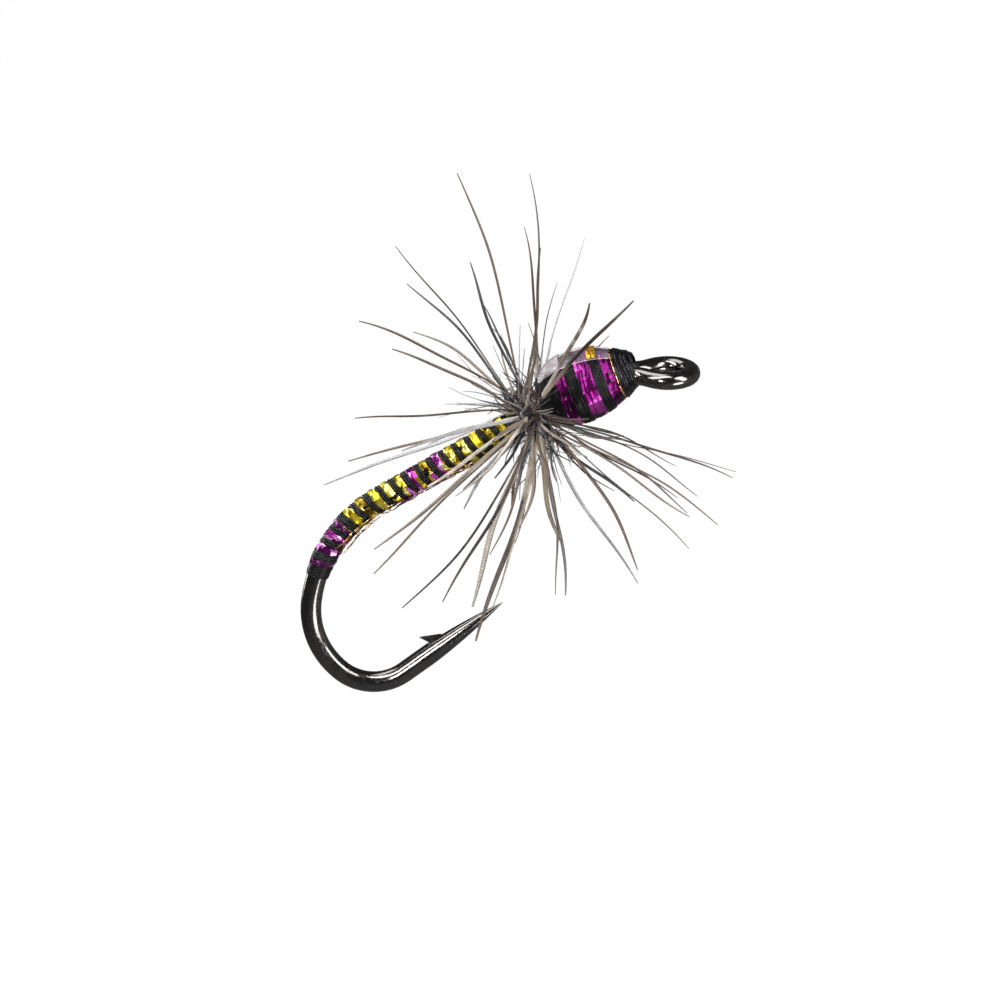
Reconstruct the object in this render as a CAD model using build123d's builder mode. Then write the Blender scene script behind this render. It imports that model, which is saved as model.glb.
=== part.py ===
"""Soft-hackle trout fly tied on a size 12 down-eye hook.

Millimetres, +Z up.  The origin is the centre of the hook eye, +X runs forward along the shank
towards the leader, and the hook's bend lies in the XZ plane with its point below the shank.
A station is a distance along the wire's centreline, counted back from the eye, so on the
straight shank station s is at x = -s.
"""

import os
from math import acos, cos, radians, sin, sqrt

from build123d import *

# ---- hook ----
WIRE_D = 0.60           # shank, bend and spear
EYE_WIRE_D = 0.49       # the wire is drawn thinner towards the eye
EYE_HOLE_D = 0.90       # hole that the tippet passes through
EYE_COIN = 0.025        # depth to which the hole's edge is pressed flat
EYE_DROOP = 30.5        # degrees that the eye is turned down from the shank
SHANK_RISE = 0.874      # height of the shank above the centre of the eye
NECK_BLEND_R = 1.0      # bend between the shank and the neck of the eye
LOOP_CLOSE = 1.25       # where the two sides of the loop meet, behind the eye's centre
LOOP_WEB_R = 0.76       # how far out the web between them reaches at the ring
LOOP_WEB_END_W = 0.44   # its width on the neck
LOOP_WEB_T = 0.38
TAPER_START = 3.3       # stations between which the wire thins down
TAPER_END = 2.0
SHANK_END = 8.97        # station where the bend begins
BEND_ARCS = [(4.20, 53.1), (2.44, 55.8), (1.457, 77.7)]     # radius and turn, shank to spear
SPEAR_L = 3.56          # from the end of the bend to the point
POINT_L = 2.6           # ground length of the point
POINT_MID_D = 0.40      # diameter half way along the ground length
POINT_TIP_D = 0.04
BARB_TIP = 2.58         # hook barb: distances behind the point
BARB_SEAT = 2.36
BARB_ROOT = 2.05
BARB_RISE = 0.31        # height of the barb's tip over the wire
BARB_W = 0.24
KERF_DEPTH = 0.08       # cut left in the wire where the barb was raised

# ---- body ----
UNDER_T = 0.04          # layer of thread on the bare wire
BODY_PAST_BEND = 2.65   # how far the body runs on into the bend
TINSEL_W = 0.21
RIB_W = 0.17            # black thread between the tinsel turns
TURN_GAP = 0.02
RIB_PROUD = 0.03
BODY_FRONT_T = 0.10     # thickness of tinsel over the underthread, at the hackle and at the tail
BODY_REAR_T = 0.03
EDGE_SHARE = 0.45       # rounding of a turn's edges, as a share of its thickness
MAGENTA_TURNS = [0, 1, 2, 3, 9, 11]         # counted from the tail; the other turns are gold
TAIL_WRAP_L = 0.26
TAIL_WRAP_T = 0.03
FRAY_D = 0.05           # loose ends of fine wire under the belly
FRAY_STARTS = [0.9, 1.4, 1.9]               # where they leave the body, forward of its rear end
FRAY_L = 0.8

# ---- hackle ----
STEM_D = 0.22           # wound feather stem
STEM_SEAT = 0.03        # how far the stem flattens where it is pulled down on the thread
STEM_TURNS = 4
STEM_PITCH = 0.19
STEM_GAP = 0.03         # from the thorax to the stem
FIBRE_ROOT_W = 0.15     # feather fibres: width at the root, middle and tip
FIBRE_MID_W = 0.12
FIBRE_TIP_W = 0.03
FIBRE_T = 0.09
FIBRE_SINK = 0.02       # how far a fibre's root goes into the stem

# Each fibre: stem turn counted from the front, clock angle about the shank (0 up, positive to
# the near side), sweep (positive towards the eye), length, and bow of its middle towards the eye.
FIBRES = {
    "hackle_fibres_upper": [
        (2, -12, 15, 6.6, 0.2), (3, -38, -11, 6.0, 0.1), (3, 38, -15, 5.7, 0.3),
        (1, -32, 27, 6.3, 0.3), (2, 26, 33, 5.8, 0.1), (3, 10, -6, 4.9, 0.2),
        (0, 48, 38, 5.3, 0.2), (0, 52, 51, 5.5, -0.2), (2, 50, 24, 3.9, 0.1),
        (1, -2, 8, 4.2, -0.1),
    ],
    "hackle_fibres_far": [
        (0, -64, 30, 5.6, -0.1), (1, -74, 18, 4.9, -0.1), (2, -68, -5, 5.0, 0.2),
        (1, -84, 12, 4.0, 0.0), (2, -90, 2, 4.6, 0.2), (3, -80, -5, 5.2, 0.3),
        (3, -98, -14, 5.4, 0.2), (0, -96, 24, 4.7, -0.2), (1, -112, 4, 5.0, 0.1),
        (0, -52, 16, 5.4, 0.2), (3, -60, -24, 5.0, 0.2), (2, -104, -8, 5.3, 0.1),
    ],
    "hackle_fibres_near": [
        (1, 66, 12, 5.2, 0.2), (2, 74, -4, 4.8, 0.3), (0, 82, 22, 4.6, -0.1),
        (3, 84, -20, 5.0, 0.2), (1, 92, 6, 5.4, 0.1), (0, 96, 30, 4.8, 0.1),
        (2, 102, -10, 4.9, 0.2), (3, 62, -30, 5.1, 0.1),
    ],
    "hackle_fibres_rear": [
        (3, -64, -59, 5.3, 0.1), (3, 56, -46, 5.6, 0.2), (3, -95, -49, 4.2, 0.2),
        (3, -52, -80, 6.0, -0.2), (2, 76, -30, 5.2, 0.1), (2, -30, -36, 5.2, 0.2),
        (3, -120, -40, 5.0, 0.2),
    ],
    "hackle_fibres_lower_rear": [
        (3, 90, -52, 5.9, -0.1), (3, 97, -56, 6.2, -0.1), (2, -128, -46, 4.8, -0.3),
        (2, -122, -34, 3.9, 0.1), (3, 169, -65, 6.1, 0.3), (2, -168, -48, 5.9, -0.2),
        (2, 102, -19, 5.7, 0.1), (2, 132, -38, 6.3, 0.3), (1, 122, -33, 5.7, 0.3),
        (3, 150, -56, 5.2, 0.2),
    ],
    "hackle_fibres_lower": [
        (2, -146, -33, 4.9, 0.1), (2, -138, -34, 4.1, -0.1), (1, 92, -11, 4.5, 0.1),
        (1, 122, -11, 5.9, 0.1), (1, 98, 2, 4.0, -0.1), (1, 114, -6, 4.7, -0.1),
        (1, -174, -2, 5.5, -0.2), (0, 150, 6, 4.8, 0.2), (2, 168, -20, 4.6, 0.1),
    ],
    "hackle_fibres_fore": [
        (1, 107, 18, 4.8, -0.1), (1, -148, 7, 4.8, -0.2), (0, 136, 22, 5.9, 0.0),
        (0, 126, 29, 5.8, 0.2), (1, -163, 20, 5.4, 0.1), (0, -153, 17, 5.2, -0.1),
        (0, 109, 34, 5.8, 0.3), (0, -168, 37, 5.5, 0.2), (0, -174, 43, 5.4, -0.1),
        (1, 145, 34, 5.9, 0.2), (0, -158, 24, 5.3, 0.3), (1, 95, 30, 4.8, 0.0),
        (0, -132, 15, 3.8, -0.3), (1, 97, 20, 4.1, -0.1), (1, 103, 18, 3.4, -0.1),
    ],
    "hackle_web_fibres": [
        (0, 60, 8, 1.9, 0.2), (1, 86, -12, 1.6, -0.2), (2, 112, 14, 2.1, 0.3),
        (3, 134, -18, 1.8, 0.2), (0, 162, 10, 2.0, -0.2), (1, -170, -16, 1.5, 0.2),
        (2, -142, 12, 1.9, 0.3), (3, -108, -24, 1.7, 0.2), (0, -78, 18, 1.8, -0.3),
        (1, -44, -8, 1.6, 0.2), (2, -16, 12, 1.9, 0.2), (3, 22, -20, 1.7, 0.3),
    ],
}

# ---- thorax, wound about an axis that drops from the shank towards the eye ----
THORAX_X = 2.16         # station of its middle
THORAX_DROP = 9.3       # degrees
THORAX_R = 1.02
THORAX_CREST = -0.25    # places along the thorax axis, from its middle towards the eye
THORAX_REAR_L = 1.40    # half lengths of the egg shape behind and before the crest
THORAX_FRONT_L = 1.65
BANDS = {               # wound bands of the outer layer: rear and front edge
    "thorax_floss_rear": (-1.30, -0.77),
    "thorax_tinsel_rear": (-0.77, -0.42),
    "thorax_floss_middle": (-0.42, -0.12),
    "thorax_tinsel_middle": (-0.12, 0.36),
    "thorax_floss_front": (0.36, 0.60),
    "thorax_tinsel_front": (0.60, 0.92),
}
BAND_T = 0.12
TINSEL_PROUD = 0.02
CROWN_HALF_ANGLE = 33   # wing case and orange strip, to each side of the top
STRIP_FROM = 0.38
STRIP_TO = 0.58
CASE_T = 0.04
GOLD_WIRE_D = 0.07
HEAD_L = 0.28           # thread head, a cone up to the whip finish
HEAD_STEP = 0.01        # how much lower the head starts than the gold wire's crest
HEAD_FRONT_R = 0.56
WHIP_L = 0.14
WHIP_R = 0.50
WHIP_EDGE_R = 0.04

WIRE_R = WIRE_D / 2
EYE_WIRE_R = EYE_WIRE_D / 2
EYE_RING_R = EYE_HOLE_D / 2 + EYE_WIRE_R - EYE_COIN
UNDER_R = WIRE_R + UNDER_T
TURN_PITCH = TINSEL_W + RIB_W + 2 * TURN_GAP

shank_axis = Axis((0, 0, SHANK_RISE), (1, 0, 0))
thorax_dir = Vector(cos(radians(THORAX_DROP)), 0, -sin(radians(THORAX_DROP)))
thorax_up = Vector(sin(radians(THORAX_DROP)), 0, cos(radians(THORAX_DROP)))
thorax_plane = Plane(origin=(-THORAX_X, 0, SHANK_RISE), x_dir=thorax_dir, z_dir=(0, -1, 0))
thorax_axis = Axis(thorax_plane.origin, thorax_dir)
crown_edge = thorax_up * cos(radians(CROWN_HALF_ANGLE)) + Vector(0, sin(radians(CROWN_HALF_ANGLE)), 0)
crown_plane = Plane(origin=thorax_plane.origin, x_dir=thorax_dir, z_dir=thorax_dir.cross(crown_edge))


def export(builder, label):
    """Label one finished piece and write its STEP file."""
    builder.part.label = label
    export_step(builder.part, f"parts/{label}.step")


def centreline(start, end):
    """The stretch of the hook's centreline between two stations."""
    return body_line.wire().trim((start - TAPER_START) / line_length, (end - TAPER_START) / line_length)


def body_radius(station):
    """Outside radius of the tinsel, which thins towards the tail."""
    share = (station - body_front) / (body_rear - body_front)
    return UNDER_R + BODY_FRONT_T + share * (BODY_REAR_T - BODY_FRONT_T)


def turn_ring(station, width, outer_r):
    """One turn of thread or tinsel round the underthread, with its outer edges rounded."""
    spot = centreline(station - width / 2, station + width / 2)
    origin = spot @ 0.5
    heading = spot % 0.5
    with BuildPart() as ring:
        with BuildSketch(Plane(origin=origin, x_dir=heading, z_dir=(0, 1, 0))) as profile:
            with Locations((0, (UNDER_R + outer_r) / 2)):
                Rectangle(width, outer_r - UNDER_R)
            fillet(profile.vertices().group_by(Axis.Y)[-1], (outer_r - UNDER_R) * EDGE_SHARE)
        revolve(axis=Axis(origin, heading))
    return ring.part


def thorax_radius(place, offset=0.0):
    """Radius of the egg shape at a place along the thorax axis."""
    half = THORAX_REAR_L if place < THORAX_CREST else THORAX_FRONT_L
    return (THORAX_R + offset) * sqrt(1 - ((place - THORAX_CREST) / (half + offset)) ** 2)


def egg_points(rear, front, offset):
    """Three points of the egg's outline, for an arc from a rear to a front place."""
    return [(place, thorax_radius(place, offset)) for place in (rear, (rear + front) / 2, front)]


def thorax_layer(plane, rear, front, inner, outer, angle=360.0):
    """Turn a layer of the thorax between two places; inner and outer are offsets from the egg."""
    low = egg_points(rear, front, inner)
    high = egg_points(rear, front, outer)
    with BuildPart() as layer:
        with BuildSketch(plane):
            with BuildLine():
                ThreePointArc(*low)
                Line(low[2], high[2])
                ThreePointArc(*high[::-1])
                Line(high[0], low[0])
            make_face()
        revolve(axis=thorax_axis, revolution_arc=angle)
    return layer.part


# ---- places worked out from the eye back ----
band_start = min(rear for rear, front in BANDS.values())
band_end = max(front for rear, front in BANDS.values())
gold_wire_r = thorax_radius(band_end) - GOLD_WIRE_D / 2
head_start = band_end + GOLD_WIRE_D
thorax_rear = (THORAX_X - band_start * cos(radians(THORAX_DROP))
               + thorax_radius(band_start) * sin(radians(THORAX_DROP)))
stem_ring_r = UNDER_R + STEM_D / 2 - STEM_SEAT
stem_crest_r = stem_ring_r + STEM_D / 2
stem_stations = [thorax_rear + STEM_GAP + STEM_D / 2 + STEM_PITCH * i for i in range(STEM_TURNS)]
body_front = stem_stations[-1] + (STEM_D + TINSEL_W) / 2
turn_count = round((SHANK_END + BODY_PAST_BEND - body_front) / TURN_PITCH) + 1
turn_stations = [body_front + TURN_PITCH * i for i in range(turn_count)]
body_rear = turn_stations[-1]
tail_station = body_rear + (TINSEL_W + TAIL_WRAP_L) / 2

os.makedirs("parts", exist_ok=True)

# ---- hook ----
with BuildLine(Plane.XZ) as body_line:
    run = Line((-TAPER_START, SHANK_RISE), (-SHANK_END, SHANK_RISE))
    for arc_radius, arc_turn in BEND_ARCS:
        run = JernArc(run @ 1, run % 1, arc_radius, arc_turn)
    spear_start = run @ 1
    spear_dir = run % 1
line_length = body_line.wire().length

neck_dir = Vector(-cos(radians(EYE_DROOP)), 0, sin(radians(EYE_DROOP)))
hole_dir = Vector(sin(radians(EYE_DROOP)), 0, cos(radians(EYE_DROOP)))
eye_plane = Plane(origin=(0, 0, 0), x_dir=neck_dir, z_dir=hole_dir)
neck_end = neck_dir * (SHANK_RISE / sin(radians(EYE_DROOP)))

with BuildPart() as hook:
    with BuildSketch(Plane(origin=body_line.wire() @ 0, z_dir=body_line.wire() % 0)):
        Circle(WIRE_R)
    sweep(path=body_line.wire())

    # Spear and its ground point, turned about the spear's own axis.
    spear_plane = Plane(origin=spear_start, x_dir=spear_dir, z_dir=(0, -1, 0))
    with BuildSketch(spear_plane):
        with BuildLine():
            Polyline((SPEAR_L, 0), (0, 0), (0, WIRE_R), (SPEAR_L - POINT_L, WIRE_R))
            ThreePointArc((SPEAR_L - POINT_L, WIRE_R), (SPEAR_L - POINT_L / 2, POINT_MID_D / 2),
                          (SPEAR_L, POINT_TIP_D / 2))
            Line((SPEAR_L, POINT_TIP_D / 2), (SPEAR_L, 0))
        make_face()
    revolve(axis=Axis(spear_start, spear_dir))

    # The wire thins along the front of the shank and turns down into the neck of the eye.
    with BuildSketch(Plane.XZ):
        with BuildLine():
            Polyline((-TAPER_START, SHANK_RISE), (-TAPER_START, SHANK_RISE + WIRE_R),
                     (-TAPER_END, SHANK_RISE + EYE_WIRE_R), (-TAPER_END, SHANK_RISE), close=True)
        make_face()
    revolve(axis=shank_axis)
    with BuildLine() as neck_line:
        FilletPolyline((-TAPER_END, 0, SHANK_RISE), neck_end, neck_dir * EYE_RING_R, radius=NECK_BLEND_R)
    with BuildSketch(Plane(origin=(-TAPER_END, 0, SHANK_RISE), z_dir=(1, 0, 0))):
        Circle(EYE_WIRE_R)
    sweep(path=neck_line.wire())

    # Eye ring, the web where the two sides of its loop close on the neck, and the coined hole.
    with Locations(eye_plane):
        Torus(EYE_RING_R, EYE_WIRE_R)
    web_angle = acos(EYE_RING_R / LOOP_CLOSE)
    web_x = LOOP_WEB_R * cos(web_angle)
    web_y = LOOP_WEB_R * sin(web_angle)
    with BuildSketch(eye_plane):
        with BuildLine():
            Polyline((web_x, web_y), (LOOP_CLOSE, LOOP_WEB_END_W / 2), (LOOP_CLOSE, -LOOP_WEB_END_W / 2),
                     (web_x, -web_y), close=True)
        make_face()
    extrude(amount=LOOP_WEB_T / 2, both=True)
    with Locations(eye_plane):
        Cylinder(EYE_HOLE_D / 2, EYE_WIRE_D * 2, mode=Mode.SUBTRACT)

    # Barb: a sliver raised from the inner side of the wire, with the kerf it left behind.
    with BuildSketch(spear_plane):
        with BuildLine():
            Polyline((SPEAR_L - BARB_SEAT, WIRE_R - KERF_DEPTH), (SPEAR_L - BARB_TIP, WIRE_R),
                     (SPEAR_L - BARB_TIP, WIRE_R + KERF_DEPTH), (SPEAR_L - BARB_SEAT, WIRE_R + KERF_DEPTH),
                     close=True)
        make_face()
    extrude(amount=WIRE_D, both=True, mode=Mode.SUBTRACT)
    with BuildSketch(spear_plane):
        with BuildLine():
            Polyline((SPEAR_L - BARB_ROOT, WIRE_R * 0.8), (SPEAR_L - BARB_ROOT, WIRE_R),
                     (SPEAR_L - BARB_TIP, WIRE_R + BARB_RISE), (SPEAR_L - BARB_SEAT, WIRE_R * 0.6),
                     close=True)
        make_face()
    extrude(amount=BARB_W / 2, both=True)
export(hook, "hook")

# ---- body ----
with BuildPart() as underbody:
    thread_path = centreline(TAPER_START, tail_station + TAIL_WRAP_L / 2)
    with BuildSketch(Plane(origin=thread_path @ 0, z_dir=thread_path % 0)):
        Circle(UNDER_R)
        Circle(WIRE_R, mode=Mode.SUBTRACT)
    sweep(path=thread_path)
export(underbody, "body_underthread")

magenta_stations = [turn_stations[-1 - i] for i in MAGENTA_TURNS]
gold_stations = [s for s in turn_stations if s not in magenta_stations]
for label, stations in (("body_gold_tinsel", gold_stations), ("body_magenta_tinsel", magenta_stations)):
    with BuildPart() as tinsel:
        for s in stations:
            add(turn_ring(s, TINSEL_W, body_radius(s)))
    export(tinsel, label)

with BuildPart() as rib:
    for s in turn_stations[1:]:
        add(turn_ring(s - TURN_PITCH / 2, RIB_W, body_radius(s) + RIB_PROUD))
export(rib, "body_rib_thread")

with BuildPart() as tail_wrap:
    add(turn_ring(tail_station, TAIL_WRAP_L, UNDER_R + TAIL_WRAP_T))
export(tail_wrap, "tail_thread_wrap")

with BuildPart() as fray:
    for s in (body_rear - start for start in FRAY_STARTS):
        spot = centreline(s, s + FRAY_L)
        down = Vector(0, -1, 0).cross(spot % 0).normalized() * (body_radius(s) - FRAY_D / 2)
        with BuildLine() as fray_line:
            Line(spot @ 0 + down, spot @ 0 + down * 1.6 + (spot % 0) * FRAY_L)
        with BuildSketch(Plane(origin=fray_line.wire() @ 0, z_dir=fray_line.wire() % 0)):
            Circle(FRAY_D / 2)
        sweep(path=fray_line.wire())
export(fray, "body_frayed_wire")

# ---- hackle ----
with BuildPart() as hackle_stem:
    with BuildSketch(Plane.XZ):
        for s in stem_stations:
            with Locations((-s, SHANK_RISE + stem_ring_r)):
                Circle(STEM_D / 2)
        with Locations((-stem_stations[-1], SHANK_RISE)):
            Rectangle(STEM_TURNS * STEM_D * 2, UNDER_R * 2, mode=Mode.SUBTRACT)
    revolve(axis=shank_axis)
export(hackle_stem, "hackle_stem")

for label, fibres in FIBRES.items():
    with BuildPart() as group:
        for turn, clock, sweep_angle, length, bow in fibres:
            out = Vector(0, -sin(radians(clock)), cos(radians(clock)))
            chord = out * cos(radians(sweep_angle)) + Vector(sin(radians(sweep_angle)), 0, 0)
            root = Vector(-stem_stations[turn], 0, SHANK_RISE) + out * (stem_crest_r - FIBRE_SINK)
            across = Vector(0, cos(radians(clock)), sin(radians(clock)))
            with BuildSketch(Plane(origin=root, x_dir=chord, z_dir=across)):
                with BuildLine():
                    ThreePointArc((0, -FIBRE_ROOT_W / 2), (length / 2, bow - FIBRE_MID_W / 2),
                                  (length, -FIBRE_TIP_W / 2))
                    Line((length, -FIBRE_TIP_W / 2), (length, FIBRE_TIP_W / 2))
                    ThreePointArc((length, FIBRE_TIP_W / 2), (length / 2, bow + FIBRE_MID_W / 2),
                                  (0, FIBRE_ROOT_W / 2))
                    Line((0, FIBRE_ROOT_W / 2), (0, -FIBRE_ROOT_W / 2))
                make_face()
            extrude(amount=FIBRE_T / 2, both=True)
    export(group, label)

# ---- thorax ----
with BuildPart() as gold_wire:
    with BuildSketch(thorax_plane):
        with Locations((head_start - GOLD_WIRE_D / 2, gold_wire_r)):
            Circle(GOLD_WIRE_D / 2)
    revolve(axis=thorax_axis)
export(gold_wire, "thorax_gold_wire")

with BuildPart() as thorax_core:
    with BuildSketch(thorax_plane):
        with BuildLine():
            for rear, front in BANDS.values():
                ThreePointArc(*egg_points(rear, front, -BAND_T))
            last = (front, thorax_radius(front, -BAND_T))
            first = (band_start, thorax_radius(band_start, -BAND_T))
            Polyline(last, (front, gold_wire_r), (head_start, gold_wire_r), (head_start, 0),
                     (band_start, 0), first)
        make_face()
    revolve(axis=thorax_axis)
    for neighbour in (gold_wire, hook, underbody):
        add(neighbour.part, mode=Mode.SUBTRACT)
export(thorax_core, "thorax_thread_core")

for label, (rear, front) in BANDS.items():
    proud = TINSEL_PROUD if "tinsel" in label else 0
    with BuildPart() as band:
        add(thorax_layer(thorax_plane, rear, front, -BAND_T, proud))
    export(band, label)

with BuildPart() as strip:
    add(thorax_layer(crown_plane, STRIP_FROM, STRIP_TO, 0, TINSEL_PROUD, 2 * CROWN_HALF_ANGLE))
export(strip, "thorax_orange_strip")

with BuildPart() as wing_case:
    for rear, front in BANDS.values():
        add(thorax_layer(crown_plane, rear, front, TINSEL_PROUD, TINSEL_PROUD + CASE_T,
                         2 * CROWN_HALF_ANGLE))
export(wing_case, "wing_case_film")

# ---- head ----
head_plane = Plane(origin=thorax_plane.from_local_coords((head_start, 0, 0)), z_dir=thorax_dir)
with BuildPart() as head:
    with BuildSketch(head_plane):
        Circle(gold_wire_r + GOLD_WIRE_D / 2 - HEAD_STEP)
    with BuildSketch(head_plane.offset(HEAD_L)):
        Circle(HEAD_FRONT_R)
    loft()
    add(hook.part, mode=Mode.SUBTRACT)
export(head, "head_thread")

with BuildPart() as whip:
    with BuildSketch(head_plane.offset(HEAD_L)):
        Circle(WHIP_R)
    extrude(amount=WHIP_L)
    fillet(whip.edges().group_by(Axis(head_plane.origin, thorax_dir))[-1], WHIP_EDGE_R)
    add(hook.part, mode=Mode.SUBTRACT)
export(whip, "whip_finish")
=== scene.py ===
"""The looks of a soft-hackle trout fly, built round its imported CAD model.

Pieces are modelled in millimetres and brought down to metres when they are finished.
A station is a distance along the hook wire's centreline, counted back from over the eye's centre.
"""

import math
import random

import bpy
from mathutils import Matrix, Vector


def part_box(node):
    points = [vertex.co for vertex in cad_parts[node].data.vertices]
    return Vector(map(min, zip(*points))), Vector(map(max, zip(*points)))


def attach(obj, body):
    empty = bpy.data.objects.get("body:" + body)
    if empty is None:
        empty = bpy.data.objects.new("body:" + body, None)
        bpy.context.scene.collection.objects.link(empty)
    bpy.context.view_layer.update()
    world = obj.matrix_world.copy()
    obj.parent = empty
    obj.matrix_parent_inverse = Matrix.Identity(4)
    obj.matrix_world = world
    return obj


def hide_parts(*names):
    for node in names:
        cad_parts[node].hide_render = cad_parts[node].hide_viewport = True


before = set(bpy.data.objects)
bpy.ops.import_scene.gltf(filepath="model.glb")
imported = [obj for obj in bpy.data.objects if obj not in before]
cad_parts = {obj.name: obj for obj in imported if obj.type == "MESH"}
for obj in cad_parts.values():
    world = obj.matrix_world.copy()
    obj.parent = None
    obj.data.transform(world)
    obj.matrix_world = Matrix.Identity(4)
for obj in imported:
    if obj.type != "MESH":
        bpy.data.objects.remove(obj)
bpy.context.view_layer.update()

MM = 0.001


def node_box(name):
    """Low and high corner of a CAD node, in millimetres."""
    low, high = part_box(name)
    return Vector(low) / MM, Vector(high) / MM


# ---------------------------------------------------------------- sizes, in millimetres
EYE_DROOP = math.radians(30.5)
EYE_WIRE_R = 0.245
LOOP_WIRE_R = 0.262
EYE_RING_R = 0.67
LOOP_CLOSE = 0.85       # behind the eye's centre, where the two sides of the loop touch
SHANK_RISE = 0.874
WIRE_R = 0.30
TAPER_START = 3.3
TAPER_END = 2.0
NECK_BLEND_R = 1.0
SHANK_END = 8.97
BEND_ARCS = [(4.20, 53.1), (2.44, 55.8), (1.457, 77.7)]     # radius and degrees, shank to spear
BEND_STEP = 4           # degrees of bend for each ring of the wire's mesh
WIRE_SIDES = 32
SPEAR_L = 3.56
POINT_L = 2.6
POINT_RINGS = [(2.1, 0.272), (1.6, 0.232), (1.25, 0.196), (0.85, 0.146), (0.5, 0.094), (0.25, 0.053),
               (0.08, 0.022), (0.0, 0.004)]     # distance from the tip, and the wire's radius there
BARB_TIP = 2.58
BARB_SEAT = 2.36
BARB_ROOT = 2.05
BARB_RISE = 0.31
BARB_W = 0.24

UNDER_R = 0.34
TURN_PITCH = 0.42
TURNS = 18
TINSEL_W = 0.28
BODY_THIN = 0.16        # share of its radius that the body loses towards the tail
MAGENTA_TURNS = [0, 1, 2, 3, 9, 11]     # counted from the tail
BLACK_GAPS = [0.5, 3.4]                 # turns from the tail where plain thread covers the tinsel
GUIDE_LEAD = 0.3        # how far a guide line starts before the piece laid on it
STRAND_POINTS = 5       # of a loose filament or strip
FRAY_COUNT = 34
BELLY_STRIPS = [(6.4, 120, 1.5, 3.2), (7.9, 135, 0.8, 2.6), (5.4, 150, 0.9, 2.4)]

THORAX_X = 2.16
THORAX_DROP = math.radians(9.3)
THORAX_R = 1.02
THORAX_CREST = -0.25
THORAX_REAR_L = 1.40
THORAX_FRONT_L = 1.65
THORAX_START = -1.5     # places on the thorax's axis are counted forward from its middle
HEAD_START = 0.90
GUIDE_STEP = 0.1
HEAD_RADII = [0.76, 0.71, 0.66, 0.60, 0.545, 0.50, 0.43, 0.36]
BLACK_BANDS = [(-1.38, -0.75), (-0.44, -0.10), (0.34, 0.62)]
BAND_T = 0.1            # thicknesses and rises on the thorax are shares of its radius
SHEET_T = 0.012
CROWN = math.radians(33)
HEM_REAR = -1.2
HEM_L = 2.1
HEM_RISE = 1.085
STEM_PITCH = 0.19
FIBRE_EXTRA = 0.25      # added to the length of each long fibre
FUZZ_COUNT = 320
FUZZ_LONGEST = 2.3

stem_low, stem_high = node_box("hackle_stem")
stem_r = (stem_high.z - stem_low.z) / 2
tinsel_high = node_box("body_gold_tinsel")[1]
body_front = -tinsel_high.x + TINSEL_W / 2
body_top = tinsel_high.z - SHANK_RISE - 0.02
body_rear = body_front + TURN_PITCH * (TURNS - 1)
thorax_dir = Vector((math.cos(THORAX_DROP), 0, -math.sin(THORAX_DROP)))
thorax_up = Vector((math.sin(THORAX_DROP), 0, math.cos(THORAX_DROP)))
thorax_middle = Vector((-THORAX_X, 0, SHANK_RISE))
NEAR = Vector((0, -1, 0))


# ---------------------------------------------------------------- small modelling tools
def clear_selection():
    """Leave edit mode and deselect everything."""
    if bpy.context.object and bpy.context.object.mode != "OBJECT":
        bpy.ops.object.mode_set(mode="OBJECT")
    bpy.ops.object.select_all(action="DESELECT")


def pick(*objects):
    """Select only these objects, with the first one active."""
    clear_selection()
    for item in objects:
        item.select_set(True)
    bpy.context.view_layer.objects.active = objects[0]


def apply_modifier(piece, kind, **settings):
    """Add a modifier with its settings and apply it."""
    pick(piece)
    modifier = piece.modifiers.new(kind.title(), kind)
    for key, value in settings.items():
        setattr(modifier, key, value)
    bpy.ops.object.modifier_apply(modifier=modifier.name)


def join(name, pieces):
    """Join pieces into one named mesh."""
    pick(*pieces)
    if len(pieces) > 1:
        bpy.ops.object.join()
    pieces[0].name = name
    return pieces[0]


def settle(piece, name, material_list, replaced, smooth=None):
    """Finish a piece: to metres, placed in its mesh, with its materials, node and body."""
    pick(piece)
    piece.name = name
    piece.scale = [s * MM for s in piece.scale]
    piece.location = [c * MM for c in piece.location]
    bpy.ops.object.transform_apply(location=True, rotation=True, scale=True)
    if smooth is not None:
        bpy.ops.object.shade_smooth_by_angle(angle=math.radians(smooth))
    if material_list is not None:
        piece.data.materials.clear()
        for material in material_list:
            piece.data.materials.append(material)
    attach(piece, "root")
    if replaced:
        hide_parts(*replaced)
    return piece


def recalculate(piece):
    """Point all faces outwards."""
    pick(piece)
    bpy.ops.object.mode_set(mode="EDIT")
    bpy.ops.mesh.select_all(action="SELECT")
    bpy.ops.mesh.normals_make_consistent(inside=False)
    bpy.ops.object.mode_set(mode="OBJECT")


def wire_point(station):
    """Place and heading angle of the hook's centreline at a station."""
    place = Vector((-min(station, SHANK_END), 0, SHANK_RISE))
    heading = 0.0
    left = station - SHANK_END
    for radius, turn in BEND_ARCS:
        if left <= 0:
            break
        step = min(left / radius, math.radians(turn))
        centre = place + radius * Vector((math.sin(heading), 0, -math.cos(heading)))
        heading += step
        place = centre - radius * Vector((math.sin(heading), 0, -math.cos(heading)))
        left -= radius * step
    else:
        place = place + left * Vector((-math.cos(heading), 0, -math.sin(heading)))
    return place, heading


def guide_curve(name, places, radii):
    """A smooth line that wound pieces are laid along; its radii swell or thin them."""
    line = bpy.data.curves.new(name, "CURVE")
    line.dimensions = "3D"
    line.resolution_u = 24
    line.twist_mode = "MINIMUM"
    spline = line.splines.new("BEZIER")
    spline.bezier_points.add(len(places) - 1)
    for point, place, radius in zip(spline.bezier_points, places, radii):
        point.co = place
        point.radius = radius
        point.handle_left_type = point.handle_right_type = "AUTO"
    guide = bpy.data.objects.new(name, line)
    bpy.context.scene.collection.objects.link(guide)
    return guide


def lay_along(piece, guide):
    """Bend a straight piece, made along +X, onto a guide line."""
    apply_modifier(piece, "CURVE", object=guide, deform_axis="POS_X")


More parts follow.
